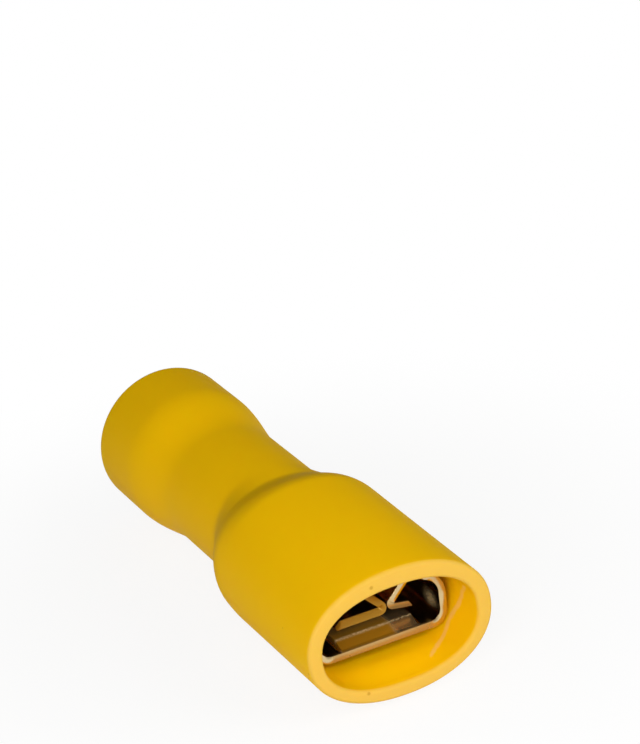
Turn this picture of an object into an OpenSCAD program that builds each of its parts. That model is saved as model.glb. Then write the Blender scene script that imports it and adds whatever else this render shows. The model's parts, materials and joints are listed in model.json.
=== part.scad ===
// Female spade terminal with a one-piece insulating sleeve, for 6.3 x 0.8 mm tabs and 4 to 6 mm2 wire.
// It lies along Y: the oval tab mouth faces -Y, the wire entry faces +Y and the broad side faces +Z.
// Every "at" and "behind" distance is measured from the tab mouth towards the wire entry.

/* [Tab receptacle] */
// Width over the side walls
receptacle_w = 7.3; // [7:0.1:8]
// Length of the receptacle
receptacle_len = 8; // [7:0.1:9]
// Distance of the receptacle's front edge behind the mouth
recess = 2.3; // [1.5:0.1:4]
// Distance of the base's inner face below the sleeve's axis
base_drop = 1.4; // [1:0.05:1.6]
// Thickness of the metal sheet
sheet_t = 0.35; // [0.3:0.05:0.45]
// Gap that the tab slides into
tab_gap = 0.85; // [0.8:0.05:1]
// Outer radius of the bends between the base and the side walls
corner_r = 0.9; // [0.6:0.05:1.1]
// Outer radius of the bends between the side walls and the rolled edges
roll_r = 1.3; // [0.9:0.05:1.4]
// Middle radius of the bends between each roll's top and its flank
flank_r = 0.6; // [0.4:0.05:0.7]
// Lean of the flanks from upright, in degrees
flank_lean = 37; // [20:1:45]
// Straight length of each flank
flank_run = 0.9; // [0.6:0.05:1.1]
// Middle radius of the tight bends between the flanks and the feet
foot_r = 0.3; // [0.22:0.01:0.35]
// Straight length of the long roll's foot, which presses on the tab
long_foot_run = 2.4; // [1.5:0.1:2.6]
// Straight length of the short roll's foot
short_foot_run = 1; // [0.6:0.1:1.2]
// Distance of the seam between the rolls from the middle, towards the short roll
seam_offset = 0.8; // [0:0.05:0.9]
// Gap between the two rolls at the seam
seam_gap = 0.1; // [0.05:0.05:0.3]
// Distance of the rolls' front behind the base's front edge
roll_setback = 0.8; // [0.4:0.1:1.5]
// Part of the roll's bend that reaches the base's front edge, in degrees
early_bend = 75; // [0:5:80]

/* [Spring tongue] */
// Width of the tongue cut in the base
tongue_w = 4.2; // [3:0.1:4.4]
// Length of the tongue
tongue_len = 5.2; // [3:0.1:6]
// Distance of the tongue's root behind the base's front edge
tongue_behind = 0.3; // [0.2:0.05:0.6]
// Rise of the tongue above the base
tongue_rise = 0.25; // [0.1:0.05:0.4]
// Run of the ramp between the tongue's root and its flat
tongue_ramp = 0.65; // [0.5:0.05:1.2]
// Width of the slit round the tongue
slit_w = 0.15; // [0.1:0.05:0.4]
// Diameter of the locking dimple on the tongue
dimple_d = 1.5; // [1:0.1:2]
// Height of the locking dimple
dimple_h = 0.2; // [0.1:0.05:0.3]

/* [Crimp barrel] */
// Bore for the stripped wire
barrel_bore_d = 3.7; // [3.4:0.1:4]
// Length of the barrel
barrel_len = 6.6; // [5.5:0.1:7.5]
// Length of the neck between the receptacle and the barrel
transition_len = 3.4; // [3:0.1:4.5]
// Height of the flanges along the transition
flange_run = 0.35; // [0.2:0.05:0.6]
// Width and depth of the groove along the barrel's butted seam
seam_groove = 0.14; // [0.08:0.02:0.2]
// Bevel on the barrel's edges
barrel_bevel = 0.12; // [0.05:0.01:0.15]

/* [Sleeve housing] */
// Length of the sleeve
sleeve_len = 27.5; // [27:0.1:32]
// Outer height of the housing at its mouth
mouth_h = 6.9; // [6.6:0.1:8]
// Outer height of the housing where its shoulder starts
housing_h = 8.2; // [7.6:0.1:9]
// Wall of the housing
housing_wall = 0.8; // [0.6:0.05:1]
// Clearance between the receptacle's corners and the cavity's sides at the shoulder
side_clear = 0.13; // [0.05:0.01:0.4]
// Extra clearance on each side at the mouth
mouth_flare = 0.1; // [0:0.01:0.4]
// Squareness of the oval, where 2 is an ellipse
oval_power = 2.15; // [2:0.05:3]
// Rounding of the mouth's edges
mouth_edge_r = 0.2; // [0.1:0.05:0.3]
// Distance of the shoulder on the broad sides behind the receptacle's rear
broad_shoulder_behind = -0.4; // [-1:0.1:1]
// Run of the shoulder on the broad sides
broad_shoulder_run = 2.5; // [2:0.1:3.5]
// Distance of the shoulder on the narrow sides behind the receptacle's rear
narrow_shoulder_behind = 0.5; // [0.2:0.1:1.5]
// Run of the shoulder on the narrow sides
narrow_shoulder_run = 3.1; // [2.5:0.1:4.5]
// Crispness of the crease where the shoulder meets the neck, 0 smooth to 1 crisp
crease = 0.4; // [0.2:0.05:1]

/* [Sleeve neck and wire entry] */
// Outer diameter of the neck
neck_d = 6.9; // [6.6:0.1:7.6]
// Flare towards the wire entry starts at
flare_at = 19.4; // [17:0.1:20]
// Run of the flare
flare_run = 4.6; // [3:0.1:5.5]
// Outer diameter of the wire entry
bell_d = 8; // [7.8:0.1:9]
// Bore for the wire with its insulation
bell_bore_d = 6.6; // [5:0.1:6.8]
// Width of the rim at the wire entry
lip_t = 0.15; // [0.1:0.05:0.4]
// Depth of the taper inside the rim
lip_run = 2; // [0.5:0.1:2.5]
// Radial clearance between the barrel and the neck
barrel_clear = 0.05; // [0.02:0.01:0.2]
// Clearance between the barrel's end and the ledge that stops it
end_clear = 0.1; // [0.05:0.05:0.3]
// Width by which the wire guide is wider than the barrel's bore
guide_clear = 0.2; // [0.1:0.05:0.5]
// Length of the straight wire guide
guide_run = 0.6; // [0.3:0.1:1]
// Run of the funnel between the wire guide and the insulation's bore
funnel_run = 1.9; // [1:0.1:2.4]

/* [Hidden] */
$fn = 64;
eps = 0.01;
outer_sides = 64; // facets round the oval housing
inner_sides = 48; // facets round the oval cavity
bend_facet = 13;  // largest facet of a bend in the sheet, in degrees
arc_steps = 6;    // facets along a corner of the transition
neck_rings = 10;  // rings along the transition

// Heights across the receptacle, above its underside
foot_z = 1.5 * sheet_t + tab_gap;
flank_turn = 90 - flank_lean;
flank_drop = flank_r * (1 - cos(flank_turn)) + flank_run * sin(flank_turn)
    + foot_r * (1 + cos(flank_turn));
receptacle_h = foot_z + flank_drop + sheet_t / 2;

// Runs along the receptacle's bent sheet, measured on its middle line
half_w = (receptacle_w - sheet_t) / 2;
corner_mid = corner_r - sheet_t / 2;
roll_mid = roll_r - sheet_t / 2;
wall_run = receptacle_h - corner_r - roll_r;
flank_reach = flank_r * sin(flank_turn) + flank_run * cos(flank_turn)
    + foot_r * (1 - sin(flank_turn)) + sheet_t / 2;

// The barrel, and how far round it the trough's sheet reaches on each side, in degrees
barrel_r = barrel_bore_d / 2 + sheet_t;
barrel_mid = barrel_bore_d / 2 + sheet_t / 2;
trough_lap = 0.3; // how far the trough's sheet runs into its neighbours at each end
trough_turn = (half_w - corner_mid + corner_mid * PI / 2 + flange_run) / barrel_mid * 180 / PI;

// Stations along the terminal
receptacle_end = recess + receptacle_len;
barrel_at = receptacle_end + transition_len;
barrel_end = barrel_at + barrel_len;
ledge_at = barrel_end + end_clear;
funnel_at = ledge_at + guide_run;

// The sleeve
broad_shoulder_at = receptacle_end + broad_shoulder_behind;
narrow_shoulder_at = receptacle_end + narrow_shoulder_behind;
broad_end = broad_shoulder_at + broad_shoulder_run;
narrow_end = narrow_shoulder_at + narrow_shoulder_run;
shoulder_end = max(broad_end, narrow_end);
neck_r = neck_d / 2;
bell_r = bell_d / 2;
facet_margin = 0.01;  // keeps the faceted shoulder just outside the round neck
axis_z = max(housing_h, bell_d) / 2;

// Outer corner points of the receptacle, seen from the front and measured from the sleeve's axis
corner_points = [for (a = [0:15:90]) each [
    [receptacle_w / 2 - corner_r * (1 - cos(a)), base_drop + sheet_t - corner_r * (1 - sin(a))],
    [receptacle_w / 2 - roll_r * (1 - cos(a)), receptacle_h - sheet_t - base_drop - roll_r * (1 - sin(a))]
]];

// Half-width that an oval of half-height b needs to reach round the receptacle's corners
function oval_reach(b) = max([for (p = corner_points)
    p[0] / pow(1 - pow(min(abs(p[1]) / b, 0.98), oval_power), 1 / oval_power)]);

cavity_half_w = oval_reach(housing_h / 2 - housing_wall) + side_clear;
housing_half_w = cavity_half_w + housing_wall;
mouth_cavity_half_w = max(oval_reach(mouth_h / 2 - housing_wall) + side_clear, cavity_half_w);
mouth_half_w = mouth_cavity_half_w + mouth_flare + housing_wall;

function smooth(u) = u * u * (3 - 2 * u);
function part_way(y, from, run) = min(max((y - from) / run, 0), 1);
function shoulder_blend(u) = crease * (1 - cos(90 * u)) + (1 - crease) * smooth(u);
function mix(a, b, t) = a + (b - a) * t;

// Outer half-width and half-height of the housing at a distance y behind the mouth
function broad_blend(y) = shoulder_blend(part_way(y, broad_shoulder_at, broad_shoulder_run));
function narrow_blend(y) = shoulder_blend(part_way(y, narrow_shoulder_at, narrow_shoulder_run));
function outer_half_h(y) = let (
    housing = mix(mouth_h, housing_h, part_way(y, 0, broad_shoulder_at)) / 2
) mix(housing, neck_r + facet_margin, broad_blend(y));
function outer_half_w(y) = let (
    housing = mix(mouth_half_w, housing_half_w, part_way(y, 0, narrow_shoulder_at))
) mix(housing, neck_r + facet_margin, narrow_blend(y));

// Oval ring at y, shrunk by inset: a superellipse that becomes a circle at the neck
function oval_ring(y, y_shape, inset, sides) = let (
    w = outer_half_w(y_shape) - inset,
    h = outer_half_h(y_shape) - inset,
    e = 2 / mix(oval_power, 2, narrow_blend(y_shape))
) [for (i = [0:sides - 1]) let (a = 360 * i / sides)
    [w * sign(cos(a)) * pow(abs(cos(a)), e), y, h * sign(sin(a)) * pow(abs(sin(a)), e)]];

// Closed solid through a list of rings that have the same number of points, with fans as end caps
module loft(rings) {
    n = len(rings[0]);
    last = len(rings) - 1;
    points = [for (ring = rings) each ring];
    walls = [for (r = [0:last - 1], i = [0:n - 1]) let (j = (i + 1) % n) each [
        [r * n + i, (r + 1) * n + j, (r + 1) * n + i],
        [r * n + i, r * n + j, (r + 1) * n + j]
    ]];
    near_cap = [for (i = [1:n - 2]) [0, i + 1, i]];
    far_cap = [for (i = [1:n - 2]) [last * n, last * n + i, last * n + i + 1]];
    polyhedron(points, concat(walls, near_cap, far_cap));
}

// Revolves an outline of [radius, y] points round the Y axis
module revolve_y(outline) {
    rotate([-90, 0, 0]) rotate_extrude() polygon(outline);
}

// Stations of the rings along the shoulder, with one where each side's shoulder ends
first_end = min(broad_end, narrow_end);
shoulder_stations = concat(
    [for (u = [0:0.125:1]) mix(min(broad_shoulder_at, narrow_shoulder_at), first_end, u)],
    shoulder_end > first_end ? [for (u = [0.2:0.2:1]) mix(first_end, shoulder_end, u)] : []);

// Distance behind the mouth and inset from the wall's face of the rings round the mouth's edge
edge_rounding = [for (a = [0:30:90]) mouth_edge_r * [1 - cos(a), 1 - sin(a)]];

module housing_solid() {
    loft(concat(
        [for (r = edge_rounding) oval_ring(r[0], r[0], r[1], outer_sides)],
        [for (y = shoulder_stations) oval_ring(y, y, 0, outer_sides)]));
}

module housing_cavity() {
    loft(concat(
        [oval_ring(-1, 0, housing_wall - mouth_edge_r, inner_sides)],
        [for (r = edge_rounding) oval_ring(r[0], r[0], housing_wall - r[1], inner_sides)],
        [for (y = shoulder_stations) oval_ring(y, y, housing_wall, inner_sides)]));
}

module neck_and_bell() {
    flare = [for (i = [0:8]) [mix(neck_r, bell_r, smooth(i / 8)), flare_at + flare_run * i / 8]];
    revolve_y(concat(
        [[0, shoulder_end - 1], [neck_r, shoulder_end - 1]],
        flare,
        [[bell_r, sleeve_len], [0, sleeve_len]]));
}

module wire_way() {
    throat_r = neck_r - housing_wall;
    seat_at = max(shoulder_end, barrel_at + trough_lap);
    barrel_seat_r = barrel_r + barrel_clear;
    guide_r = (barrel_bore_d + guide_clear) / 2;
    lip_r = bell_r - lip_t;
    revolve_y([
        [0, shoulder_end - 1], [throat_r, shoulder_end - 1], [throat_r, seat_at],
        [barrel_seat_r, seat_at], [barrel_seat_r, ledge_at], [guide_r, ledge_at],
        [guide_r, funnel_at], [bell_bore_d / 2, funnel_at + funnel_run],
        [bell_bore_d / 2, sleeve_len - lip_run], [lip_r, sleeve_len],
        [lip_r, sleeve_len + 1], [0, sleeve_len + 1]
    ]);
}

// Poses [x, y, heading] along the middle line of a sheet with straight runs, written [length],
// and left-hand bends, written [radius, angle]
function walk(steps, x = 0, y = 0, heading = 0, i = 0) = i == len(steps) ? [[x, y, heading]] :
    len(steps[i]) == 1 ? concat([[x, y, heading]],
        walk(steps, x + steps[i][0] * cos(heading), y + steps[i][0] * sin(heading), heading, i + 1)) :
    let (
        r = steps[i][0],
        facets = ceil(steps[i][1] / bend_facet),
        turned = [for (k = [0:facets]) let (a = heading + steps[i][1] * k / facets)
            [x - r * sin(heading) + r * sin(a), y + r * cos(heading) - r * cos(a), a]],
        end = turned[facets]
    ) concat([for (k = [0:facets - 1]) turned[k]], walk(steps, end[0], end[1], end[2], i + 1));

// Outline of a bent sheet of thickness t
module strip(steps, t) {
    line = walk(steps);
    last = len(line) - 1;
    polygon(concat(
        [for (p = line) [p[0] + sin(p[2]) * t / 2, p[1] - cos(p[2]) * t / 2]],
        [for (k = [last:-1:0]) let (p = line[k]) [p[0] - sin(p[2]) * t / 2, p[1] + cos(p[2]) * t / 2]]));
}

// Half of the base, a side wall and the start of its roll
function wall_steps(roll_angle) = [
    [half_w - corner_mid], [corner_mid, 90], [wall_run], [roll_mid, roll_angle]
];
// The same with the whole roll, whose flank turns back at seam_x, and its foot
function roll_steps(seam_x, foot_run) = concat(wall_steps(90), [
    [half_w - roll_mid - flank_reach - seam_x],
    [flank_r, flank_turn], [flank_run], [foot_r, 180 - flank_turn], [foot_run]
]);

module front_outline() {
    translate([0, sheet_t / 2]) for (side = [0, 1]) mirror([side, 0]) strip(wall_steps(early_bend), sheet_t);
}

module full_outline() {
    translate([0, sheet_t / 2]) {
        strip(roll_steps(seam_gap / 2 + seam_offset, short_foot_run), sheet_t);
        mirror([1, 0]) strip(roll_steps(seam_gap / 2 - seam_offset, long_foot_run), sheet_t);
    }
}

// Extrudes an outline along Y between two stations
module extrude_y(from, to) {
    translate([0, to, 0]) rotate([90, 0, 0]) linear_extrude(to - from) children();
}

// Ball whose cap is the dimple on the flat of the tongue, with the tongue's face at z = face
module dimple_ball(face) {
    ball_r = (pow(dimple_d / 2, 2) + pow(dimple_h, 2)) / (2 * dimple_h);
    translate([0, (tongue_ramp + tongue_len) / 2, face + dimple_h - ball_r]) sphere(ball_r);
}

// Part of the dimple's ball that stands above the height from
module dimple_cap(face, from) {
    intersection() {
        dimple_ball(face);
        translate([-dimple_d, (tongue_ramp + tongue_len) / 2 - dimple_d, from])
            cube([2 * dimple_d, 2 * dimple_d, sheet_t]);
    }
}

// Spring tongue, rooted at y = 0 with its root's underside at z = 0: a ramp and then a flat
module tongue() {
    lap = 0.1;
    top = tongue_rise + sheet_t;
    difference() {
        union() {
            translate([-tongue_w / 2, 0, 0]) rotate([90, 0, 90]) linear_extrude(tongue_w) polygon([
                [-lap, 0], [0, 0], [tongue_ramp, tongue_rise], [tongue_len, tongue_rise],
                [tongue_len, top], [tongue_ramp, top], [0, sheet_t], [-lap, sheet_t]
            ]);
            dimple_cap(top, top - sheet_t / 2);
        }
        dimple_cap(tongue_rise, tongue_rise - sheet_t / 2);
    }
}

module receptacle() {
    root_at = recess + tongue_behind;
    difference() {
        union() {
            extrude_y(recess, recess + roll_setback) front_outline();
            extrude_y(recess + roll_setback, receptacle_end) full_outline();
        }
        translate([-tongue_w / 2 - slit_w, root_at, -eps])
            cube([tongue_w + 2 * slit_w, tongue_len + slit_w, sheet_t + 2 * eps]);
    }
    translate([0, root_at, 0]) tongue();
}

// Middle line of the trough behind the receptacle, from one flange's top round the base to the other's
function trough_line() = let (
    x = half_w,
    base_z = sheet_t / 2 - base_drop - sheet_t,
    bend_z = base_z + corner_mid,
    side = [for (i = [0:arc_steps]) let (a = 90 * i / arc_steps)
        [x - corner_mid * (1 - cos(a)), bend_z - corner_mid * sin(a)]]
) concat(
    [[x, bend_z + flange_run]], side, [[0, base_z]],
    [for (i = [arc_steps:-1:0]) [-side[i][0], side[i][1]]], [[-x, bend_z + flange_run]]);

// Middle line of the barrel's wall, open at the top, with n points
function barrel_line(n) = [for (i = [0:n - 1])
    let (a = -90 + trough_turn - 2 * trough_turn * i / (n - 1))
    barrel_mid * [cos(a), sin(a)]];

// Ring round a strip of thickness t that lies along a middle line at y
function strip_ring(line, t, y) = let (
    n = len(line),
    normals = [for (i = [0:n - 1])
        let (d = line[min(i + 1, n - 1)] - line[max(i - 1, 0)]) [-d[1], d[0]] / norm(d)]
) concat(
    [for (i = [0:n - 1]) let (p = line[i] + normals[i] * t / 2) [p[0], y, p[1]]],
    [for (i = [n - 1:-1:0]) let (p = line[i] - normals[i] * t / 2) [p[0], y, p[1]]]);

// Closed solid through rings that go once round a strip: down one face and back up the other
module strip_loft(rings) {
    n = len(rings[0]);
    last = len(rings) - 1;
    points = [for (ring = rings) each ring];
    walls = [for (r = [0:last - 1], i = [0:n - 1]) let (j = (i + 1) % n) each [
        [r * n + i, (r + 1) * n + i, (r + 1) * n + j],
        [r * n + i, (r + 1) * n + j, r * n + j]
    ]];
    caps = [for (i = [0:n / 2 - 2]) let (j = n - 1 - i, far = last * n) each [
        [i, j - 1, j], [i, i + 1, j - 1],
        [far + i, far + j, far + j - 1], [far + i, far + j - 1, far + i + 1]
    ]];
    polyhedron(points, concat(walls, caps));
}

// Trough that gathers the base and its flanges into the barrel, a little thinner than both
module transition() {
    from = trough_line();
    to = barrel_line(len(from));
    strip_loft([for (r = [0:neck_rings]) let (u = r / neck_rings)
        strip_ring(mix(from, to, smooth(u)), sheet_t * 0.85,
            mix(receptacle_end - trough_lap, barrel_at + trough_lap, u))]);
}

module barrel() {
    bore_r = barrel_bore_d / 2;
    difference() {
        revolve_y([
            [bore_r, barrel_at], [barrel_r - barrel_bevel, barrel_at], [barrel_r, barrel_at + barrel_bevel],
            [barrel_r, barrel_end - barrel_bevel], [barrel_r - barrel_bevel, barrel_end],
            [bore_r + barrel_bevel, barrel_end], [bore_r, barrel_end - barrel_bevel]
        ]);
        translate([-seam_groove / 2, barrel_at - eps, barrel_r - seam_groove])
            cube([seam_groove, barrel_len + 2 * eps, seam_groove + eps]);
    }
}

// Moves a piece from the sleeve's own axis to the part's frame
module place() {
    translate([0, -sleeve_len / 2, axis_z]) children();
}

module insulating_sleeve() {
    color("gold") place() difference() {
        union() {
            housing_solid();
            neck_and_bell();
        }
        housing_cavity();
        wire_way();
    }
}

module crimp_terminal() {
    color("silver") place() {
        translate([0, 0, -base_drop - sheet_t]) receptacle();
        transition();
        barrel();
    }
}

insulating_sleeve();
crimp_terminal();
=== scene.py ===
# %% [markdown]
# # An insulated female spade terminal
#
# The object has two pieces. A yellow PVC sleeve is moulded in one go: an oval housing, a shoulder, a round
# neck and a flared wire entry. Inside sits a terminal stamped from tin-plated brass sheet and rolled up,
# with a receptacle for a flat tab at one end and a barrel to crimp on the wire at the other.
#
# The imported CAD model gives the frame: +Y runs from the oval tab mouth to the wire entry, +Z is up, and one
# Blender unit is a metre. Both pieces are made again here as smooth surfaces on the CAD model's own sizes.

import json
import math

import bpy
import numpy as np
from mathutils import Matrix, Vector


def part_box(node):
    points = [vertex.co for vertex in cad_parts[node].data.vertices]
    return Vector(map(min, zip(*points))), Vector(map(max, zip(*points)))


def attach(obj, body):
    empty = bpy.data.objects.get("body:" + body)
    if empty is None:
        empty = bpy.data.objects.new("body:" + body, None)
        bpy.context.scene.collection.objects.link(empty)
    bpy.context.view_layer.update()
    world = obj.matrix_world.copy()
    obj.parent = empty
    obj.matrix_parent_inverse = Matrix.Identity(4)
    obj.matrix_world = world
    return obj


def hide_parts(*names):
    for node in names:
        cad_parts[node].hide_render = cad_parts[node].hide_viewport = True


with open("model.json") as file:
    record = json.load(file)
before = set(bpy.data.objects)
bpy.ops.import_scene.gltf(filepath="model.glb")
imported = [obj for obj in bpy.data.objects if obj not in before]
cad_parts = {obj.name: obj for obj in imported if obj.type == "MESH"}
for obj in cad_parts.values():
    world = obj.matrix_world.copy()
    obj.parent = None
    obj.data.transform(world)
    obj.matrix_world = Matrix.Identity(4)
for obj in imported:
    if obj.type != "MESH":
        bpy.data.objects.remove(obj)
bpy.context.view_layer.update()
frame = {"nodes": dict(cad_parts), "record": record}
MM = 0.001
print("CAD nodes:", sorted(frame["nodes"]))

# %% [markdown]
# Most sizes come from the frame: the sleeve's box gives its length, its mouth's width and the height of its
# axis, and the record's mounts give the bores. The others are repeated here by name, in millimetres, as the
# CAD source has them, because a script that makes a surface from a formula needs the formula's own sizes. A
# pair such as `BROAD_SHOULDER` is where a change begins behind the mouth and how long it runs.

# %% Sizes, in millimetres
sleeve_low, sleeve_high = (np.array(c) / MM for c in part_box("insulating_sleeve"))
metal_low, metal_high = (np.array(c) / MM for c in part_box("crimp_terminal"))
bores = {m["name"]: m["dims"]["r_mm"] for m in frame["record"]["mounts"] if "r_mm" in m["dims"]}

LENGTH = sleeve_high[1] - sleeve_low[1]
MOUTH_HALF_W = sleeve_high[0]
HOUSING_HALF_H = (sleeve_high[2] - sleeve_low[2]) / 2
AXIS_Z = HOUSING_HALF_H
MOUTH_HALF_H = 3.45
HOUSING_HALF_W = 4.714
WALL = 0.8
OVAL_POWER = 2.15
BROAD_SHOULDER = (9.9, 2.5)
NARROW_SHOULDER = (10.8, 3.1)
CREASE = 0.4
NECK_R = 3.45
FLARE = (19.4, 4.6)
BELL_R = 4.0
LIP_T = 0.15
LIP_RUN = 2.0
MOUTH_EDGE = 0.2
SHOULDER_END = NARROW_SHOULDER[0] + NARROW_SHOULDER[1]

SHEET_T = 0.35
RECEPTACLE_HALF_W = metal_high[0]
RECESS = metal_low[1] - sleeve_low[1]
METAL_END = metal_high[1] - sleeve_low[1]
RECEPTACLE_LEN = 8.0
BARREL_LEN = 6.6
RECEPTACLE_END = RECESS + RECEPTACLE_LEN
BARREL_AT = METAL_END - BARREL_LEN
BASE_DROP = 1.4
BARREL_BORE_R = bores["wire_barrel"]
BARREL_CLEAR = 0.05
END_CLEAR = 0.1
TROUGH_LAP = 0.3
GUIDE_CLEAR = 0.1
GUIDE_RUN = 0.6
FUNNEL_RUN = 1.9
ENTRY_BORE_R = bores["insulation_entry"]
print(f"sleeve {LENGTH:.2f} mm long, terminal from {RECESS:.2f} to {METAL_END:.2f} mm behind the mouth")

# %% [markdown]
# ## Small helpers
#
# Both pieces are grids of points, worked out as whole numpy arrays. A mesh could be filled vertex by
# vertex, but `from_pydata` takes the whole grid in one step, and the faces come from arrays of indices in
# the same way.


# %% Helpers for curves and meshes
def smooth(u):
    """Smoothstep: 3u^2 - 2u^3, which leaves 0 and reaches 1 without a kink."""
    return u * u * (3 - 2 * u)


def part_way(y, start, run):
    """How far y has come along a run that begins at start, from 0 to 1."""
    return np.clip((y - start) / run, 0, 1)


def mix(a, b, t):
    """a at t = 0, b at t = 1 and a straight line between."""
    return a + (b - a) * t


def dense_line(corners, spacing):
    """Points about spacing apart along straight lines between corner points, with every corner kept."""
    corners = np.asarray(corners, float)
    runs = np.linalg.norm(np.diff(corners, axis=0), axis=1)
    parts = [
        mix(a, b, np.linspace(0, 1, max(1, math.ceil(run / spacing)), endpoint=False)[:, None])
        for a, b, run in zip(corners[:-1], corners[1:], runs)
    ]
    return np.vstack(parts + [corners[-1:]])


def grid_faces(rows, columns, close_rows=False, close_columns=False):
    """Quads between neighbouring rows and columns of a grid whose points are numbered row by row."""
    r = np.arange(rows if close_rows else rows - 1)
    c = np.arange(columns if close_columns else columns - 1)
    r, c = (a.ravel() for a in np.meshgrid(r, c, indexing="ij"))
    r2, c2 = (r + 1) % rows, (c + 1) % columns
    return np.stack([r * columns + c, r * columns + c2, r2 * columns + c2, r2 * columns + c], axis=1)


def mesh_object(name, points_mm, faces):
    """A Blender object from points in millimetres, with its origin at the frame's and the faces smooth."""
    mesh = bpy.data.meshes.new(name)
    mesh.from_pydata((points_mm * MM).tolist(), [], faces.tolist())
    mesh.polygons.foreach_set("use_smooth", np.ones(len(mesh.polygons), bool))
    mesh.update()
    obj = bpy.data.objects.new(name, mesh)
    bpy.context.scene.collection.objects.link(obj)
    return obj


def signed_volume(points, faces):
    """Volume inside closed quads: the sum of the tetrahedra from the origin to each half of each quad."""
    a, b, c, d = (points[faces[:, k]] for k in range(4))
    cone = np.einsum("ij,ij->i", a, np.cross(b, c)) + np.einsum("ij,ij->i", a, np.cross(c, d))
    return cone.sum() / 6


def to_frame(points):
    """From millimetres behind the mouth and round the sleeve's axis to the frame's own millimetres."""
    return points + np.array([0, sleeve_low[1], AXIS_Z])


# %% [markdown]
# ## The sleeve
#
# The real sleeve is one injection moulding in soft PVC. Its mouth is an oval, its neck is a circle, and one
# wall runs through both. It could be made by stretching a cylinder and pulling at its points. A formula is
# better, because the wall then has the right thickness everywhere. Each ring is a superellipse,
# |x/a|^p + |z/b|^p = 1, and a, b and p change with the distance behind the mouth.
#
# The core that forms the cavity is not quite the outside's twin. At the mouth it is squarer, a little
# flatter and lower, and its floor rises towards the metal.


# %% Outline of the sleeve along its axis
def shoulder(u):
    """Part 1 - cos(90 deg u), part smoothstep: it begins softly and meets the neck at a crease."""
    return CREASE * (1 - np.cos(np.pi / 2 * u)) + (1 - CREASE) * smooth(u)


def outer_oval(y):
    """Half-width, half-height and power of the outside at a distance y behind the mouth."""
    broad = shoulder(part_way(y, *BROAD_SHOULDER))
    narrow = shoulder(part_way(y, *NARROW_SHOULDER))
    half_w = mix(MOUTH_HALF_W, HOUSING_HALF_W, part_way(y, 0, NARROW_SHOULDER[0]))
    half_h = mix(MOUTH_HALF_H, HOUSING_HALF_H, part_way(y, 0, BROAD_SHOULDER[0]))
    round_r = mix(NECK_R, BELL_R, smooth(part_way(y, *FLARE)))
    return mix(half_w, round_r, narrow), mix(half_h, round_r, broad), mix(OVAL_POWER, 2.0, narrow)


CORE_SQUASH = 0.07
CORE_SQUARE = 0.15
CORE_DROP = 0.1


def cavity_oval(y):
    """Half-width, half-height, power and height of the centre of the cavity at a distance y behind the
    mouth: the outside moved in by the wall, and the core's own difference, which fades to the shoulder."""
    w, h, p = outer_oval(y)
    near = 1 - smooth(part_way(y, 0, BROAD_SHOULDER[0]))
    return w - WALL, h - WALL - CORE_SQUASH * near, p + CORE_SQUARE * near, -CORE_DROP * near


# %% [markdown]
# One closed line runs round the wall's section: along the outside from the mouth to the rim of the bell,
# back through the wire entry, the ledge and the barrel's seat, and through the cavity to the mouth again. A
# ring for each of its points then makes the whole wall with no separate caps. Every corner is broken by two
# points close together, as a mould's corners are, because a perfectly sharp edge catches no light.

# %% Rings of the sleeve
BREAK = 0.02
OUTER_GAP = 0.2
BORE_GAP = 0.35
CAVITY_GAP = 0.15
FLOOR_RISE = 0.35
FLOOR_RISE_FADES = (5.0, 3.0)


def wire_side():
    """Corners (radius, station) of the round openings, from the rim of the bell to the rear of the cavity."""
    lip_r = BELL_R - LIP_T
    guide_r = BARREL_BORE_R + GUIDE_CLEAR
    seat_r = BARREL_BORE_R + SHEET_T + BARREL_CLEAR
    cavity_r = NECK_R - WALL
    ledge = METAL_END + END_CLEAR
    seat_at = BARREL_AT + TROUGH_LAP
    return [
        (BELL_R, LENGTH - 2 * BREAK),
        (BELL_R - 2 * BREAK, LENGTH),
        (lip_r + 1.5 * BREAK, LENGTH),
        (lip_r - BREAK, LENGTH - 2.5 * BREAK),
        (ENTRY_BORE_R + BREAK, LENGTH - LIP_RUN),
        (ENTRY_BORE_R, LENGTH - LIP_RUN - 10 * BREAK),
        (ENTRY_BORE_R, ledge + GUIDE_RUN + FUNNEL_RUN),
        (guide_r, ledge + GUIDE_RUN),
        (guide_r, ledge + 2.5 * BREAK),
        (guide_r + 2.5 * BREAK, ledge),
        (seat_r - BREAK, ledge),
        (seat_r, ledge - BREAK),
        (seat_r, seat_at + BREAK),
        (seat_r + BREAK, seat_at),
        (cavity_r - BREAK, seat_at),
        (cavity_r, seat_at - BREAK),
        (cavity_r, SHOULDER_END),
    ]


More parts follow.
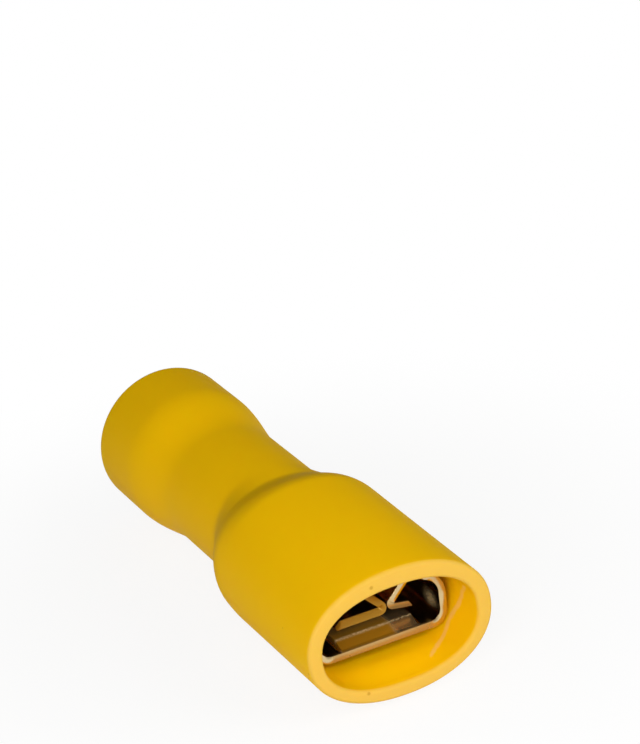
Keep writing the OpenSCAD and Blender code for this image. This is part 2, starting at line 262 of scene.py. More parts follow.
def sleeve_rings():
    """Station, half-width, half-height, power, centre and floor's rise of each ring, and the number of the
    first ring of the cavity. The mouth's edge is a quarter circle: y = r (1 - cos t), and it stands
    r (1 - sin t) inside the oval."""
    turn = np.radians(np.arange(0, 91, 15))
    edge_y = MOUTH_EDGE * (1 - np.cos(turn))
    edge_in = MOUTH_EDGE * (1 - np.sin(turn))
    outer_y = np.concatenate([edge_y, np.arange(MOUTH_EDGE + OUTER_GAP, LENGTH - 0.05, OUTER_GAP)])
    outer_in = np.zeros_like(outer_y)
    outer_in[: len(turn)] = edge_in
    w, h, p = outer_oval(outer_y)
    outer = np.stack([outer_y, w - outer_in, h - outer_in, p, 0 * p, 0 * p], axis=1)

    bore, bore_y = dense_line(wire_side(), BORE_GAP).T
    inside = np.stack([bore_y, bore, bore, 0 * bore + 2, 0 * bore, 0 * bore], axis=1)

    back_y = np.arange(SHOULDER_END - CAVITY_GAP, MOUTH_EDGE, -CAVITY_GAP)
    fade = 1 - smooth(part_way(back_y, *FLOOR_RISE_FADES))
    rise = FLOOR_RISE * smooth(part_way(back_y, 0, RECESS)) * fade
    cavity = np.stack([back_y, *cavity_oval(back_y), rise], axis=1)
    w, h, p, centre = cavity_oval(edge_y[::-1])
    mouth = np.stack([edge_y[::-1], w + edge_in[::-1], h + edge_in[::-1], p, centre, 0 * p], axis=1)
    return np.concatenate([outer, inside, cavity, mouth]), len(outer) + len(inside)


# %% Sleeve surface
ROUND = 224
FLOOR_RISE_HALF_W = 2.9
rings, cavity_start = sleeve_rings()
station, half_w, half_h, power, centre, rise = (rings[:, k][:, None] for k in range(6))
angle = np.linspace(0, 2 * np.pi, ROUND, endpoint=False)[None, :]
cosine, sine = np.cos(angle), np.sin(angle)
x = half_w * np.sign(cosine) * np.abs(cosine) ** (2 / power)
z = centre + half_h * np.sign(sine) * np.abs(sine) ** (2 / power)
z = z + rise * (sine < 0) * np.clip(1 - (x / FLOOR_RISE_HALF_W) ** 2, 0, 1)
sleeve_points = np.stack([x, station + 0 * angle, z], axis=-1).reshape(-1, 3)
sleeve_faces = grid_faces(len(rings), ROUND, close_rows=True, close_columns=True)
if signed_volume(sleeve_points, sleeve_faces) < 0:
    sleeve_faces = sleeve_faces[:, ::-1]
sleeve = mesh_object("moulded_sleeve", to_frame(sleeve_points), sleeve_faces)
sleeve.data.set_sharp_from_angle(angle=math.radians(50))
print(f"sleeve: {len(sleeve_faces)} faces, {signed_volume(sleeve_points, sleeve_faces):.1f} mm3")

# %% [markdown]
# A pale line is a painted highlight down the cavity's right wall, where a light's reflection runs along the
# concave wall. It could be painted as a picture, but then it would need a UV map. Here each vertex stores how
# far it is from the line, and the material colours what is near. The line is a curve on the wall: its
# distance behind the mouth is 2.2 - 1.1 |t|^1.5 mm, where t runs along it and is 0 where it lies deepest.

# %% A painted highlight on the cavity's wall
# painted highlight: where the pale line of reflected light lies on the cavity's wall
HIGHLIGHT_TOP, HIGHLIGHT_FOOT, HIGHLIGHT_DEEPEST = 13, -65, -27
HIGHLIGHT_SPAN = 39
HIGHLIGHT_Y, HIGHLIGHT_CURVE = 2.2, 1.1
SLANT = 0.8
MM_PER_DEGREE = 0.06
turn = (np.degrees(angle) + 180) % 360 - 180
highlight_y = HIGHLIGHT_Y - HIGHLIGHT_CURVE * np.abs((turn - HIGHLIGHT_DEEPEST) / HIGHLIGHT_SPAN) ** 1.5
beside = SLANT * (station - highlight_y)
beyond = MM_PER_DEGREE * (np.maximum(turn - HIGHLIGHT_TOP, 0) + np.maximum(HIGHLIGHT_FOOT - turn, 0))
away = np.minimum(np.hypot(beside, beyond), 1)
in_cavity = np.arange(len(rings))[:, None] >= cavity_start
highlight_line = sleeve.data.attributes.new("away_from_scrape", "FLOAT", "POINT")
highlight_line.data.foreach_set("value", np.where(in_cavity, away, 1).ravel().astype(np.float32))
print(f"scrape: {(np.where(in_cavity, away, 1) < 0.1).sum()} vertices within 0.1 mm of it")

# %% [markdown]
# ## The terminal
#
# The real terminal is one flat blank of brass sheet, tin-plated, that a press bends and rolls. So it is
# made the same way here. A grid stands for the blank: its columns run across the sheet and its rows run
# along the terminal. Each row follows a path of straight runs and bends, as a sheet-metal drawing gives
# them, and where the blank has no metal its faces are left out. The bends are those of a worn press: the
# flanks lean a little more than drawn, the folds at the feet are tighter, and the short foot sags.

# %% The bent path across the receptacle
CORNER_MID = 0.725
ROLL_MID = 1.125
FLANK_R = 0.6
FLANK_TURN = math.radians(46)
FLANK_RUN = 1.42
FOOT_R = 0.19
LONG_FOOT_RUN = 2.4
SHORT_FOOT_RUN = 1.0
SHORT_FOOT_SAG = math.radians(9)
SEAM_OFFSET = 0.8
SEAM_GAP = 0.1
RECEPTACLE_H = 3.09
SHEET_HALF_W = RECEPTACLE_HALF_W - SHEET_T / 2
WALL_RUN = RECEPTACLE_H - SHEET_T - CORNER_MID - ROLL_MID
FLANK_REACH = (
    FLANK_R * math.sin(FLANK_TURN)
    + FLANK_RUN * math.cos(FLANK_TURN)
    + FOOT_R * (1 - math.sin(FLANK_TURN))
    + SHEET_T / 2
)


def receptacle_steps(side):
    """Straight runs (length, 0) and bends (radius, turn) from the base's middle to the foot of one roll."""
    seam_x = SEAM_GAP / 2 + side * SEAM_OFFSET
    return [
        (SHEET_HALF_W - CORNER_MID, 0),
        (CORNER_MID, math.pi / 2),
        (WALL_RUN, 0),
        (ROLL_MID, math.pi / 2),
        (SHEET_HALF_W - ROLL_MID - FLANK_REACH - seam_x, 0),
        (FLANK_R, FLANK_TURN),
        (FLANK_RUN, 0),
        (FOOT_R, math.pi - FLANK_TURN - (SHORT_FOOT_SAG if side > 0 else 0)),
        (SHORT_FOOT_RUN if side > 0 else LONG_FOOT_RUN, 0),
    ]


def step_lengths(steps):
    """Length of each run or bend along the sheet: a bend's is its radius times its turn."""
    return np.array([size * turn if turn else size for size, turn in steps])


def bent_path(steps, s):
    """Points (x, z) at distances s along the steps: each one adds a line, or an arc about its own centre."""
    x, z = np.zeros_like(s), np.zeros_like(s)
    here, heading, done = np.zeros(2), 0.0, 0.0
    for (size, turn), length in zip(steps, step_lengths(steps)):
        along = np.clip(s - done, 0, length)
        active = s >= done
        if turn:
            a = heading + along / size
            px = here[0] + size * (np.sin(a) - math.sin(heading))
            pz = here[1] - size * (np.cos(a) - math.cos(heading))
            end = heading + turn
            step = [math.sin(end) - math.sin(heading), math.cos(heading) - math.cos(end)]
            here = here + size * np.array(step)
            heading = end
        else:
            px = here[0] + along * math.cos(heading)
            pz = here[1] + along * math.sin(heading)
            here = here + size * np.array([math.cos(heading), math.sin(heading)])
        x, z = np.where(active, px, x), np.where(active, pz, z)
        done += length
    return x, z


# %% [markdown]
# The columns of the blank are spaced closely in its bends and along the spring tongue, and one column lies
# on each line where the blank is cut: the sides of the tongue and its slit, the edge of the flanges, and
# the barrel's seam.

# %% Columns and rows of the blank
TONGUE_HALF_W = 2.1
TONGUE_LEN = 5.2
TONGUE_AT = RECESS + 0.3
TONGUE_RAMP = 0.65
TONGUE_RISE = 0.25
SLIT = 0.15
FLANGE_RUN = 0.35
BARREL_MID = BARREL_BORE_R + SHEET_T / 2
SEAM_HALF = 0.03
BARREL_EDGE = math.pi * BARREL_MID - SEAM_HALF
WIDE_BEND = 0.6
COLUMN_GAP = 0.06


def side_columns(side):
    """Distances from the middle of the blank to the columns on one side of it. The ends of the steps and
    the cuts come first. Columns in the bends and even ones follow, where they keep clear of the others."""
    steps = receptacle_steps(side)
    ends = np.cumsum(step_lengths(steps))
    bends = [
        np.linspace(end - length, end, 11 if radius > WIDE_BEND else 7)
        for (radius, turn), length, end in zip(steps, step_lengths(steps), ends)
        if turn
    ]
    cuts = [TONGUE_HALF_W, TONGUE_HALF_W + SLIT, ends[1] + FLANGE_RUN, BARREL_EDGE]
    columns = np.concatenate([[0], ends, cuts])
    even = [np.linspace(0, TONGUE_HALF_W, 15), np.linspace(0, ends[-1], 45)]
    for more in bends + even:
        apart = np.abs(more[:, None] - columns[None, :]).min(axis=1) > COLUMN_GAP
        columns = np.concatenate([columns, more[apart]])
    return np.unique(np.round(columns, 4))


right, left = side_columns(1), side_columns(-1)
across = np.concatenate([-left[:0:-1], right])

TONGUE_END = TONGUE_AT + TONGUE_LEN
RAMP_ROWS_END = TONGUE_AT + TONGUE_RAMP + 0.15
row_runs = [
    (RECESS, TONGUE_AT, 0.1),
    (TONGUE_AT, RAMP_ROWS_END, 0.05),
    (RAMP_ROWS_END, TONGUE_END, 0.15),
    (TONGUE_END, TONGUE_END + SLIT, 0.15),
    (TONGUE_END + SLIT, RECEPTACLE_END, 0.17),
    (RECEPTACLE_END, BARREL_AT, 0.17),
    (BARREL_AT, METAL_END, 0.17),
]
row_parts = [
    np.linspace(start, end, math.ceil((end - start) / step - 0.001), endpoint=False)
    for start, end, step in row_runs
]
rows = np.concatenate(row_parts + [[METAL_END]])
print(f"blank: {len(across)} columns by {len(rows)} rows")


# %% [markdown]
# Now the blank is folded. Every row has its own mix of two cross-sections, the receptacle's folded path and
# the barrel's circle, so the sheet wraps gradually between them. The rolls fall back a little at the front,
# as the press leaves them, and the tongue is lifted on its ramp, with a small dimple that presses on the
# tab.

# %% The folded blank
ROLL_SETBACK = 0.8
SETBACK_RUN = 0.7
EARLY_BEND = math.radians(70)
RAMP_SOFT = 0.08
DIMPLE_R = 0.75
DIMPLE_H = 0.2


def bend_between(y, run, rise, soft):
    """A level, a straight ramp from y = 0 to y = run, and a level: each corner is a parabola 2 soft long."""
    risen = [
        np.clip(y - corner + soft, 0, 2 * soft) ** 2 / (4 * soft) + np.clip(y - corner - soft, 0, None)
        for corner in (0, run)
    ]
    return rise / run * (risen[0] - risen[1])


def folded_blank(across, rows):
    """Point of the sheet's middle at each row and column: the receptacle's path, the barrel's circle
    (x, z) = r (sin s/r, -cos s/r), and between them a smooth blend of the two."""
    half = np.abs(across)
    x_right, z_right = bent_path(receptacle_steps(1), half)
    x_left, z_left = bent_path(receptacle_steps(-1), half)
    x = np.where(across >= 0, x_right, -x_left)[None, :]
    z = np.where(across >= 0, z_right, z_left)[None, :] - BASE_DROP - SHEET_T / 2
    round_x = BARREL_MID * np.sin(across / BARREL_MID)[None, :]
    round_z = -BARREL_MID * np.cos(across / BARREL_MID)[None, :]

    wall_top = step_lengths(receptacle_steps(1))[:3].sum()
    setback = ROLL_SETBACK * smooth(part_way(half, wall_top + EARLY_BEND * ROLL_MID, SETBACK_RUN))[None, :]
    y = rows[:, None]
    squeeze = np.clip((RECEPTACLE_END - y) / (RECEPTACLE_END - RECESS), 0, 1)
    y = y + setback * squeeze

    ramp = bend_between(rows - TONGUE_AT, TONGUE_RAMP, TONGUE_RISE, RAMP_SOFT)[:, None]
    free = (half <= TONGUE_HALF_W + 1e-6)[None, :] & (rows <= TONGUE_END + 1e-6)[:, None]
    spot = np.hypot(x, y - TONGUE_AT - (TONGUE_RAMP + TONGUE_LEN) / 2)
    dimple = DIMPLE_H * np.clip(1 - (spot / DIMPLE_R) ** 2, 0, 1) ** 1.5
    lift = np.where(free, ramp + dimple, 0)

    wrap = smooth(part_way(rows, RECEPTACLE_END, BARREL_AT - RECEPTACLE_END))[:, None]
    return np.stack([mix(x, round_x, wrap), y + 0 * x, mix(z + lift, round_z, wrap)], axis=-1)


def blank_faces(across, rows):
    """Quads of the blank, without those where the sheet is cut away."""
    faces = grid_faces(len(rows), len(across))
    s = np.abs((across[faces[:, 0] % len(across)] + across[faces[:, 1] % len(across)]) / 2)
    y = (rows[faces[:, 0] // len(across)] + rows[faces[:, 3] // len(across)]) / 2
    flange_edge = step_lengths(receptacle_steps(1))[:2].sum() + FLANGE_RUN
    in_window = (s < TONGUE_HALF_W + SLIT) & (y > TONGUE_AT) & (y < TONGUE_END + SLIT)
    tongue = (s < TONGUE_HALF_W) & (y < TONGUE_END)
    between = (y > RECEPTACLE_END) & (y < BARREL_AT) & (s > flange_edge)
    beyond = (y > BARREL_AT) & (s > BARREL_EDGE)
    return faces[~((in_window & ~tongue) | between | beyond)]


# %% [markdown]
# Solidify could give the sheet its thickness, but its edges would all be square. A press leaves them
# leaning and, at the feet, rounded, and a mirror-like edge shows that at once. So the two faces are offset
# here, each by half the sheet along the normals, and the open edges between them are closed with quads.
# Bevel then breaks the corners.

# %% Normals and open edges of the sheet
def vertex_normals(points, faces):
    """Sum of the normals of the faces round each vertex, made 1 long: a face's is its diagonals' cross."""
    of_face = np.cross(points[faces[:, 2]] - points[faces[:, 0]], points[faces[:, 3]] - points[faces[:, 1]])
    total = np.zeros_like(points)
    for corner in range(4):
        np.add.at(total, faces[:, corner], of_face)
    return total / np.maximum(np.linalg.norm(total, axis=1, keepdims=True), 1e-12)


def open_edges(faces):
    """The directed edges that only one face has."""
    edges = np.concatenate([faces[:, [k, (k + 1) % 4]] for k in range(4)])
    key = np.sort(edges, axis=1)
    code = key[:, 0] * (faces.max() + 1) + key[:, 1]
    _, where, count = np.unique(code, return_index=True, return_counts=True)
    return edges[where[count == 1]]


middle = folded_blank(across, rows).reshape(-1, 3)
faces = blank_faces(across, rows)
in_use, faces = np.unique(faces, return_inverse=True)
faces = faces.reshape(-1, 4)
middle = middle[in_use]
normal = vertex_normals(middle, faces)
if (normal[np.abs(middle[:, 0]) < 1, 2].mean()) < 0:
    faces, normal = faces[:, ::-1], -normal

row_y = rows[in_use // len(across)]
column_s = across[in_use % len(across)]
print(f"sheet's middle: {len(middle)} points, {len(faces)} faces")


# %% [markdown]
# A cut edge is not square to the sheet. The shear leaves it leaning a little on the walls and more on the
# flanks and feet, and the foot's own edge is rounded off. `by_part` gives each part of the blank its angle,
# and near the front edge the two faces of the sheet slide past each other by it.

# %% The sheet's two faces
LEAN_RUN = 0.25
FOOT_ROUND = 0.28
FOOT_TIP = 0.2


def by_part(values, soft=0.15):
    """Five values a side, for the base, the wall with its corner, the roll, the flank and the foot, with
    short ramps between them. The first row is for the side of the short foot."""
    result = np.zeros(len(column_s))
    for side, row in zip((1, -1), values):
        ends = np.cumsum(step_lengths(receptacle_steps(side)))[[0, 2, 4, 6]]
        here = column_s * side >= 0
        knots = np.repeat(ends, 2) + np.tile([-soft, soft], 4)
        result[here] = np.interp(np.abs(column_s[here]), knots, np.repeat(row, 2)[1:-1])
    return result


lean_angle = np.radians(by_part([[0, -14, -6, 0, 18], [0, -14, 0, 32, -28]]))
lean = np.tan(lean_angle) * SHEET_T / 2 * (1 - part_way(row_y, RECESS, LEAN_RUN))
foot_end = np.where(column_s > 0, right[-1], left[-1])
inward = np.clip((foot_end - np.abs(column_s)) / FOOT_ROUND, 0, 1)
on_foot = (row_y < RECEPTACLE_END) & (inward < 1)
round_off = np.where(on_foot, np.sqrt(1 - (1 - inward) ** 2), 1)
upper = middle + normal * (SHEET_T * (np.maximum(round_off, FOOT_TIP) - 0.5))[:, None]
lower = middle - normal * SHEET_T / 2
upper[:, 1] -= lean
lower[:, 1] += lean

rim = open_edges(faces)
count = len(middle)
rim_faces = np.stack([rim[:, 1], rim[:, 0], rim[:, 0] + count, rim[:, 1] + count], axis=1)
solid_faces = np.concatenate([faces, faces[:, ::-1] + count, rim_faces])
solid_points = np.concatenate([upper, lower])
print(f"terminal: {len(solid_faces)} faces, {signed_volume(solid_points, solid_faces):.1f} mm3")
terminal = mesh_object("rolled_terminal", to_frame(solid_points), solid_faces)

# %% [markdown]
# Tin is thin, and a tab or a tool wears it through. The brass shows on the front edge of the left flank and
# its foot, and less on the other front edges. On the left part of the tongue the same brass colour is a
# painted reflection of the left foot's underside. A pale colour paints a highlight along the crest of the
# tongue's ramp and a pool of light at one spot on the right wall. Both are stored on the vertices as numbers
# from 0 to 1, and the material mixes its colours by them.

# %% Wear, painted reflection and painted light on the sheet
REFLECTION_ENDS_AT = (0.7, 0.35)
REFLECTION_FADES_AT = (TONGUE_AT + 0.6, 3.0)
CREST_WIDTH = 0.06
WALL_SPOT_Y, WALL_SPOT_Z = 3.35, -0.72
WALL_SPOT_LONG, WALL_SPOT_HIGH = 0.95, 0.6
on_tongue = (np.abs(column_s) < TONGUE_HALF_W + 0.01) & (row_y < TONGUE_END + 0.01)
# painted reflection: the brass colour on the tongue's left part stands for the left foot's underside mirrored
# in it; on the front edges the brass is bare metal
left_part = 1 - 0.85 * smooth(part_way(middle[:, 0], *REFLECTION_ENDS_AT))
rubbed = np.where(on_tongue, left_part * (1 - smooth(part_way(row_y, *REFLECTION_FADES_AT))), 0)
rubbed_edge = by_part([[0.55, 0, 0.15, 0, 0.55], [0.55, 0, 0.3, 1, 1]])
rubbed = mix(rubbed, rubbed_edge, 1 - part_way(row_y, RECESS + 0.01, 0.1))

# painted highlight along the crest of the ramp, and a painted pool of light on the right wall where the key
# lamp reaches
crest = TONGUE_AT + TONGUE_RAMP
scraped = on_tongue * np.exp(-(((row_y - crest) / CREST_WIDTH) ** 2))
from_spot = np.hypot((row_y - WALL_SPOT_Y) / WALL_SPOT_LONG, (middle[:, 2] - WALL_SPOT_Z) / WALL_SPOT_HIGH)
right_wall = by_part([[0, 1, 0, 0, 0], [0, 0, 0, 0, 0]])
scraped = np.maximum(scraped, right_wall * (1 - smooth(np.minimum(from_spot, 1))))
for name, upper_face, lower_face in (("rubbed", rubbed, rubbed), ("scraped", scraped, 0 * scraped)):
    mark = terminal.data.attributes.new(name, "FLOAT", "POINT")
    mark.data.foreach_set("value", np.concatenate([upper_face, lower_face]).astype(np.float32))
    print(f"{name}: {(upper_face > 0.5).sum()} vertices by more than half")

# %% [markdown]
# Every real edge is broken, if only by a few hundredths of a millimetre, and that is where it glints. A
# Bevel does it, and Weighted Normal keeps the flat faces flat beside it.

# %% Broken edges
edges = terminal.modifiers.new("broken edges", "BEVEL")
edges.width = 0.025 * MM
edges.segments = 2
edges.limit_method = "ANGLE"
edges.angle_limit = math.radians(50)
weighted = terminal.modifiers.new("flat faces stay flat", "WEIGHTED_NORMAL")
weighted.keep_sharp = True

# %% [markdown]
# ## Materials
#
# Colours are written as sRGB hex values, as a paint chart gives them, and one function turns them into the
# linear values that the shader works in. Another small function adds a node, sets its values and links its
# inputs.


# %% Helpers for materials
def linear(hex_colour):
    """sRGB hex to linear RGBA: x/12.92 below 0.04045 and ((x + 0.055)/1.055)^2.4 above."""
    srgb = np.array([int(hex_colour[i : i + 2], 16) for i in (1, 3, 5)]) / 255
    rgb = np.where(srgb <= 0.04045, srgb / 12.92, ((srgb + 0.055) / 1.055) ** 2.4)
    return (*rgb.tolist(), 1.0)


def add(tree, kind, inputs=None, links=None, **settings):
    """Adds a node, sets its properties and input values, and links its inputs from other nodes' outputs."""
    node = tree.nodes.new(kind)
    for name, value in settings.items():
        setattr(node, name, value)
    for key, value in (inputs or {}).items():
        node.inputs[key].default_value = value
    for key, source in (links or {}).items():
        tree.links.new(source, node.inputs[key])
    return node


def new_material(name):
    """An empty material with its output and a Principled shader linked to it."""
    material = bpy.data.materials.new(name)
    material.use_nodes = True
    tree = material.node_tree
    tree.nodes.clear()
    shader = add(tree, "ShaderNodeBsdfPrincipled")
    add(tree, "ShaderNodeOutputMaterial", links={"Surface": shader.outputs["BSDF"]})
    return material, tree, shader


# %% [markdown]
# A Mix node keeps sockets for floats, vectors and colours side by side under the same names, so they are
# reached by number: 6 and 7 are its two colours, and output 2 is the colour it gives.

# %% Sockets of a Mix node
FIRST, SECOND, MIXED = 6, 7, 2

# %% [markdown]
# ### Yellow PVC
#
# The sleeve is soft PVC with plenty of pigment, injection moulded. Light goes a little way in and comes out
# deeper and warmer, which is why the inside of the mouth glows orange, and subsurface scattering gives
# that. The mould's fine texture leaves it satin, with hardly a highlight. The rim's paler, greyer colour is
# a painted sheen, where the front lamps' broad highlight lies on it. The specks are dirt and tiny bubbles.

# %% Specks in the PVC
# Each one is x, distance behind the mouth, height over the axis and radius, in millimetres.
SPECKS = (
    (-1.3, 0.0, 2.9, 0.13),
    (-2.2, 0.0, -2.3, 0.1),
    (-2.1, 0.0, -2.6, 0.12),
    (-4.9, 0.3, -0.6, 0.09),
    (1.5, 3.8, 3.3, 0.09),
    (-4.9, 2.9, 0.7, 0.08),
    (-3.3, 23.7, 2.7, 0.08),
)


def speck_mask(tree, where):
    """The strongest of the specks at a place: each fades in from its radius to four tenths of it."""
    strongest = None
    for x, y, z, radius in SPECKS:
        centre = tuple((to_frame(np.array([x, y, z])) * MM).tolist())
        gap = add(tree, "ShaderNodeVectorMath", {1: centre}, {0: where}, operation="DISTANCE")
        speck = add(
            tree,
            "ShaderNodeMapRange",
            {"From Min": radius * MM, "From Max": 0.4 * radius * MM, "To Max": 0.55},
            {"Value": gap.outputs["Value"]},
        ).outputs["Result"]
        if strongest is not None:
            larger = add(tree, "ShaderNodeMath", {}, {0: strongest, 1: speck}, operation="MAXIMUM")
            speck = larger.outputs[0]
        strongest = speck
    return strongest


# %% Painted highlight in the PVC
def painted_highlight_mask(tree, where):
    """0.75 on the painted highlight line and 0 away from it, with an edge that a noise of 0.35 mm makes
    ragged.
    """
    away = add(tree, "ShaderNodeAttribute", attribute_name="away_from_scrape").outputs["Fac"]
    ragged = add(tree, "ShaderNodeTexNoise", {"Scale": 1 / (0.35 * MM), "Detail": 2.0}, {"Vector": where})
    shift = add(
        tree, "ShaderNodeMath", {1: 0.2, 2: -0.1}, {0: ragged.outputs["Fac"]}, operation="MULTIPLY_ADD"
    )
    edge = add(tree, "ShaderNodeMath", {}, {0: shift.outputs[0], 1: away}, operation="ADD")
    return add(
        tree,
        "ShaderNodeMapRange",
        {"From Min": 0.17, "From Max": 0.06, "To Max": 0.75},
        {"Value": edge.outputs[0]},
    ).outputs["Result"]


# %% Yellow PVC, injection moulded
def yellow_pvc():
    """Clouded yellow, painted sheen on the rim, a painted highlight line and specks, over a grain of 0.12 mm
    and a ripple of 3 mm.
    """
    material, tree, shader = new_material("yellow PVC, injection moulded")
    where = add(tree, "ShaderNodeTexCoord").outputs["Object"]
    cloud = add(tree, "ShaderNodeTexNoise", {"Scale": 1 / (6 * MM), "Detail": 3.0}, {"Vector": where})
    body = add(
        tree,
        "ShaderNodeMix",
        {FIRST: linear("#EEB800"), SECOND: linear("#F5BE00")},
        {"Factor": cloud.outputs["Fac"]},
        data_type="RGBA",
    )
    along = add(tree, "ShaderNodeSeparateXYZ", links={"Vector": where}).outputs["Y"]
    # painted sheen: the rim takes a paler, greyer colour where the front lamps' broad highlight lies on it
    rim_sheen_share = add(
        tree,
        "ShaderNodeMapRange",
        {"From Min": (sleeve_low[1] + 0.26) * MM, "From Max": (sleeve_low[1] + 0.02) * MM},
        {"Value": along},
        interpolation_type="SMOOTHSTEP",
    )
    with_painted_rim_sheen = add(
        tree,
        "ShaderNodeMix",
        {SECOND: linear("#D2A743")},
        {"Factor": rim_sheen_share.outputs["Result"], FIRST: body.outputs[MIXED]},
        data_type="RGBA",
    )
    # painted highlight: the pale line on the cavity's wall stands for a light's reflection there
    scraped = add(
        tree,
        "ShaderNodeMix",
        {SECOND: linear("#F2BE5C")},
        {"Factor": painted_highlight_mask(tree, where), FIRST: with_painted_rim_sheen.outputs[MIXED]},
        data_type="RGBA",
    )
    specked = add(
        tree,
        "ShaderNodeMix",
        {SECOND: linear("#9A6A08")},
        {"Factor": speck_mask(tree, where), FIRST: scraped.outputs[MIXED]},
        data_type="RGBA",
    )
    tree.links.new(specked.outputs[MIXED], shader.inputs["Base Color"])

    waves = add(tree, "ShaderNodeTexNoise", {"Scale": 1 / (3 * MM), "Detail": 1.0}, {"Vector": where})
    ripple = add(
        tree, "ShaderNodeBump", {"Strength": 0.25, "Distance": 0.03 * MM}, {"Height": waves.outputs["Fac"]}
    )
    grain = add(tree, "ShaderNodeTexNoise", {"Scale": 1 / (0.12 * MM), "Detail": 2.0}, {"Vector": where})
    bump = add(
        tree,
        "ShaderNodeBump",
        {"Strength": 0.15, "Distance": 0.01 * MM},
        {"Height": grain.outputs["Fac"], "Normal": ripple.outputs["Normal"]},
    )
    tree.links.new(bump.outputs["Normal"], shader.inputs["Normal"])
    shader.inputs["Roughness"].default_value = 0.62
    shader.inputs["IOR"].default_value = 1.53
    shader.inputs["Specular IOR Level"].default_value = 0.06
    shader.inputs["Subsurface Weight"].default_value = 0.2
    shader.inputs["Subsurface Radius"].default_value = (1.0, 0.55, 0.1)
    shader.inputs["Subsurface Scale"].default_value = 1.0 * MM
    return material


# %% [markdown]
# ### Tin-plated brass
#
# A thin coat of tin on rolled brass sheet: silver-grey with a warm cast, smooth enough to mirror the
# sleeve, and with faint lines along the way that it was rolled. Brass shows where the vertices say so: bare
# on the front edges and a painted reflection on the tongue. Where they mark painted light the metal is pale.
# Both are rougher than the coat and only half a mirror: oxide and dirt lie on the bare brass, and the
# painted marks catch the lamps so.


# %% Tin-plated brass, rolled sheet
def tinned_brass():
    """Tin, brass by one mark (bare edges and a painted reflection) and pale painted light by the other, over
    rolling lines 0.08 mm apart.
    """
    material, tree, shader = new_material("tin-plated brass, rolled sheet")
    where = add(tree, "ShaderNodeTexCoord").outputs["Object"]
    brass_and_reflection_here = add(tree, "ShaderNodeAttribute", attribute_name="rubbed").outputs["Fac"]
    # brass colour: bare metal on the front edges, a painted reflection on the tongue
    tin_and_brass = add(
        tree,
        "ShaderNodeMix",
        {FIRST: linear("#D8BE8C"), SECOND: linear("#A07414")},
        {"Factor": brass_and_reflection_here},
        data_type="RGBA",
    )
    speckle = add(tree, "ShaderNodeTexNoise", {"Scale": 1 / (0.1 * MM), "Detail": 2.0}, {"Vector": where})
    broken = add(
        tree,
        "ShaderNodeMapRange",
        {"From Min": 0.35, "From Max": 0.6, "To Min": 0.25, "To Max": 1.0},
        {"Value": speckle.outputs["Fac"]},
    )
    painted_light_mark = add(tree, "ShaderNodeAttribute", attribute_name="scraped").outputs["Fac"]
    speckled_painted_light = add(
        tree, "ShaderNodeMath", {}, {0: painted_light_mark, 1: broken.outputs["Result"]}, operation="MULTIPLY"
    ).outputs[0]
    # pale colour for the painted highlight and the painted pool of light, broken into speckles
    coloured = add(
        tree,
        "ShaderNodeMix",
        {SECOND: linear("#F2D9A4")},
        {"Factor": speckled_painted_light, FIRST: tin_and_brass.outputs[MIXED]},
        data_type="RGBA",
    )
    tree.links.new(coloured.outputs[MIXED], shader.inputs["Base Color"])

    stain = add(tree, "ShaderNodeTexNoise", {"Scale": 1 / (1.5 * MM), "Detail": 4.0}, {"Vector": where})
    coat = add(
        tree,
        "ShaderNodeMapRange",
        {"From Min": 0.3, "From Max": 0.7, "To Min": 0.1, "To Max": 0.2},
        {"Value": stain.outputs["Fac"]},
    )
    wear_and_painted_light = add(tree, "ShaderNodeMath", {}, {0: brass_and_reflection_here, 1: speckled_painted_light}, operation="MAXIMUM").outputs[0]
    rough = add(
        tree, "ShaderNodeMath", {1: 0.25}, {0: wear_and_painted_light, 2: coat.outputs["Result"]}, operation="MULTIPLY_ADD"
    )
    tree.links.new(rough.outputs[0], shader.inputs["Roughness"])
    metallic = add(tree, "ShaderNodeMapRange", {"To Min": 1.0, "To Max": 0.5}, {"Value": wear_and_painted_light})
    tree.links.new(metallic.outputs["Result"], shader.inputs["Metallic"])

    stretch = add(tree, "ShaderNodeMapping", {"Scale": (1.0, 0.06, 1.0)}, {"Vector": where}).outputs["Vector"]
    lines = add(tree, "ShaderNodeTexNoise", {"Scale": 1 / (0.08 * MM), "Detail": 3.0}, {"Vector": stretch})
    bump = add(
        tree, "ShaderNodeBump", {"Strength": 0.2, "Distance": 0.004 * MM}, {"Height": lines.outputs["Fac"]}
    )
    tree.links.new(bump.outputs["Normal"], shader.inputs["Normal"])
    return material


# %% [markdown]
# Each surface takes its material and stands for its CAD node, which stays for collision and is hidden here.
# Nothing on the terminal moves, so both ride on the one body.

# %% Finish and register the two pieces
for piece, node, make, slot in (
    (sleeve, "insulating_sleeve", yellow_pvc, "sleeve_pvc"),
    (terminal, "crimp_terminal", tinned_brass, "tinned_brass"),
):
    material = make()
    piece.data.materials.append(material)
    frame["nodes"][node].data.materials.clear()
    frame["nodes"][node].data.materials.append(material)
    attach(piece, "root")
    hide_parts(node)
    print(f"{piece.name}: {material.name}, {len(material.node_tree.nodes)} nodes")

# %% [markdown]
# ## Floor, light and camera
#
# A plain floor carries the soft shadow. Its paper is slightly grey, so on rays that come straight from the
# camera or off a mirror it mostly glows white instead. The glow is a little weaker round the object, where
# the shadow is.

# %% Floor
FLOOR_HALF = 1.0
floor = mesh_object(
    "floor",
    np.array([[-1, -1, 0], [1, -1, 0], [1, 1, 0], [-1, 1, 0]]) * FLOOR_HALF / MM,
    np.array([[0, 1, 2, 3]]),
)
paper, tree, shader = new_material("white paper")
shader.inputs["Base Color"].default_value = linear("#F4F4F2")
shader.inputs["Roughness"].default_value = 0.9
floor.data.materials.append(paper)


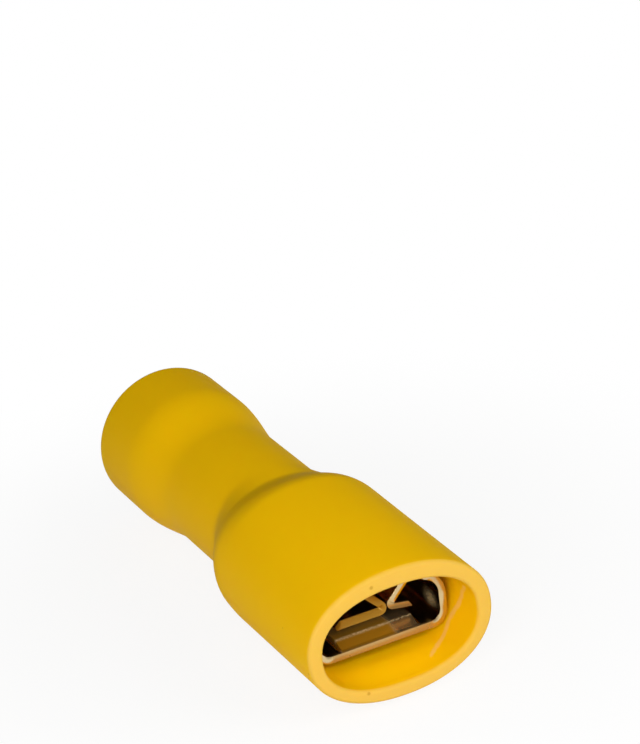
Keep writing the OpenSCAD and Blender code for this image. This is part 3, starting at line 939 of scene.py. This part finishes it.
def seen_directly(tree):
    """1 for rays from the camera, mirrors and glass, and 0 for the rays that carry light between surfaces."""
    path = add(tree, "ShaderNodeLightPath").outputs
    either = add(
        tree, "ShaderNodeMath", {}, {0: path["Is Camera Ray"], 1: path["Is Glossy Ray"]}, operation="MAXIMUM"
    ).outputs[0]
    return add(
        tree, "ShaderNodeMath", {}, {0: either, 1: path["Is Transmission Ray"]}, operation="MAXIMUM"
    ).outputs[0]


place = add(tree, "ShaderNodeTexCoord").outputs["Object"]
from_object = add(tree, "ShaderNodeVectorMath", {}, {0: place}, operation="LENGTH")
glow_share = add(
    tree,
    "ShaderNodeMapRange",
    {"From Min": 9 * MM, "From Max": 32 * MM, "To Min": 0.88, "To Max": 1.0},
    {"Value": from_object.outputs["Value"]},
    interpolation_type="SMOOTHSTEP",
)
share = add(
    tree,
    "ShaderNodeMath",
    {},
    {0: glow_share.outputs["Result"], 1: seen_directly(tree)},
    operation="MULTIPLY",
)
glow = add(tree, "ShaderNodeEmission", {"Color": (1, 1, 1, 1), "Strength": 1.0})
surface = add(
    tree, "ShaderNodeMixShader", {}, {0: share.outputs[0], 1: shader.outputs["BSDF"], 2: glow.outputs[0]}
)
output = next(n for n in tree.nodes if n.type == "OUTPUT_MATERIAL")
tree.links.new(surface.outputs[0], output.inputs["Surface"])
print(f"floor: {2 * FLOOR_HALF:.0f} m square")

# %% [markdown]
# The world fills in from all round, as a light tent does. It is brighter low down than overhead, and much
# darker behind the object than in front, so the metal has something dark to mirror and the sleeve's far
# side turns deeper.

# %% World
world = bpy.data.worlds.new("light tent")
bpy.context.scene.world = world
world.use_nodes = True
tree = world.node_tree
tree.nodes.clear()
direction = add(tree, "ShaderNodeTexCoord").outputs["Generated"]
way = add(tree, "ShaderNodeSeparateXYZ", links={"Vector": direction})
by_height = add(
    tree,
    "ShaderNodeMapRange",
    {"From Min": 0.05, "From Max": 0.3, "To Min": 0.6, "To Max": 0.25},
    {"Value": way.outputs["Z"]},
    interpolation_type="SMOOTHSTEP",
)
by_depth = add(
    tree,
    "ShaderNodeMapRange",
    {"From Min": 0.5, "From Max": -0.1, "To Min": 0.25, "To Max": 1.0},
    {"Value": way.outputs["Y"]},
    interpolation_type="SMOOTHSTEP",
)
level = add(
    tree,
    "ShaderNodeMath",
    {},
    {0: by_height.outputs["Result"], 1: by_depth.outputs["Result"]},
    operation="MULTIPLY",
)
tent = add(tree, "ShaderNodeBackground", {"Color": (1, 1, 1, 1)}, {"Strength": level.outputs[0]})
add(tree, "ShaderNodeOutputWorld", links={"Surface": tent.outputs[0]})
print(f"world: {len(tree.nodes)} nodes")

# %% [markdown]
# The camera stands in front and to the left, about 16 cm away, and looks down into the mouth through a long
# lens. A distant camera with a long lens keeps the sleeve's two ends close to their true proportions.

# %% Camera
CAMERA_AT = Vector((-52.4, -126.6, 74.5)) * MM
AIM_AT = Vector((4.25, 1.56, 11.05)) * MM
CAMERA_ROLL = math.radians(-7.24)
FOCAL_LENGTH = 144.6

camera_data = bpy.data.cameras.new("camera")
camera_data.lens = FOCAL_LENGTH
camera_data.sensor_width = 36
camera_data.clip_start = 0.005
camera_data.clip_end = 10
camera = bpy.data.objects.new("camera", camera_data)
bpy.context.scene.collection.objects.link(camera)
look = (AIM_AT - CAMERA_AT).to_track_quat("-Z", "Y").to_matrix().to_4x4()
camera.matrix_world = Matrix.Translation(CAMERA_AT) @ look @ Matrix.Rotation(CAMERA_ROLL, 4, "Z")
bpy.context.scene.camera = camera
print(f"camera: {CAMERA_AT.length / MM:.0f} mm from the origin")

# %% [markdown]
# Two soft square lamps light it. The key stands at the front left, near the camera, and the larger second
# one at the front right, further away. The second is hidden from mirrors, because it would show inside the
# receptacle as a bright square.


# %% Lamps
def area_lamp(name, place_mm, aim_mm, size_mm, power):
    """A square soft lamp at one point, turned towards another."""
    data = bpy.data.lights.new(name, "AREA")
    data.size = size_mm * MM
    data.energy = power
    lamp = bpy.data.objects.new(name, data)
    bpy.context.scene.collection.objects.link(lamp)
    place, aim = Vector(place_mm) * MM, Vector(aim_mm) * MM
    turned = (aim - place).to_track_quat("-Z", "Y").to_matrix().to_4x4()
    lamp.matrix_world = Matrix.Translation(place) @ turned
    return lamp


LAMPS_AIM = (0, -6, 4)
area_lamp("key", (-61, -104, 66), LAMPS_AIM, 66, 0.128)
second = area_lamp("second", (85, -150, 100), LAMPS_AIM, 90, 0.17)
second.visible_glossy = False

scene = bpy.context.scene
scene.view_settings.view_transform = "Standard"
